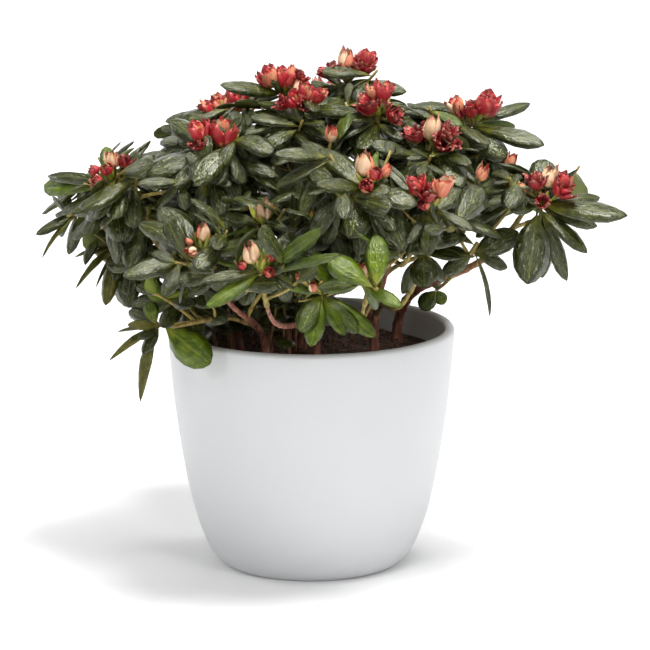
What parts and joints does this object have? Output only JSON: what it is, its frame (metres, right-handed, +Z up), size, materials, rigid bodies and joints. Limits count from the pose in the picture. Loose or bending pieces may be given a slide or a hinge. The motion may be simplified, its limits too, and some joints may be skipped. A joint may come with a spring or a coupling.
{
  "type": "potted azalea shrub",
  "caption": "Dwarf evergreen azalea in bud: woody stems and boughs carry sprays of dark leaves with red bud clusters, in a round white ceramic pot.",
  "frame": {"origin": "the middle of the pot's flat underside, on the surface that the plant stands on", "axes": "+Z up along the pot's axis; -Y towards the side that the plant is shown from; +X to the right of that side"},
  "size_m": [0.3199, 0.3, 0.2931],
  "materials": {
    "ceramic": "matt",
    "peat": "matt",
    "bark": "matt",
    "foliage": "satin"
  },
  "bodies": {
    "root": {"pot": "ceramic", "peat": "peat", "stem_right": "bark", "stem_rightBack": "bark", "stem_middle": "bark", "stem_front": "bark", "stem_left": "bark", "stem_frontLeft": "bark", "stem_centre": "bark", "stem_back": "bark", "bough_farRight": "bark", "bough_rearRight": "bark", "bough_backRightHigh": "bark", "bough_frontRight": "bark", "bough_frontHigh": "bark", "bough_frontInner": "bark", "bough_frontLow": "bark", "bough_frontSkirt": "bark", "bough_leftLow": "bark", "bough_farLeft": "bark", "bough_upperLeft": "bark", "bough_frontLeftHigh": "bark", "bough_lowLeft": "bark", "bough_topRight": "bark", "bough_topLeft": "bark", "bough_upperLeftBack": "bark", "bough_backHigh": "bark", "bough_backLeft": "bark", "bough_backLeftHigh": "bark", "bough_backLow": "bark", "spray_right": "foliage", "spray_rightLow": "foliage", "spray_farRight": "foliage", "spray_upperRightBack": "foliage", "spray_rearRight": "foliage", "spray_backRightHigh": "foliage", "spray_upperRight": "foliage", "spray_frontRight": "foliage", "spray_frontHigh": "foliage", "spray_frontInner": "foliage", "spray_frontLowLeft": "foliage", "spray_frontLow": "foliage", "spray_frontSkirt": "foliage", "spray_frontMiddle": "foliage", "spray_left": "foliage", "spray_leftLow": "foliage", "spray_farLeft": "foliage", "spray_upperLeft": "foliage", "spray_frontLeft": "foliage", "spray_frontLeftHigh": "foliage", "spray_lowLeft": "foliage", "spray_top": "foliage", "spray_topRight": "foliage", "spray_topLeft": "foliage", "spray_upperLeftBack": "foliage", "spray_back": "foliage", "spray_backHigh": "foliage", "spray_backLeft": "foliage", "spray_backLeftHigh": "foliage", "spray_backLow": "foliage"}
  },
  "joints": []
}
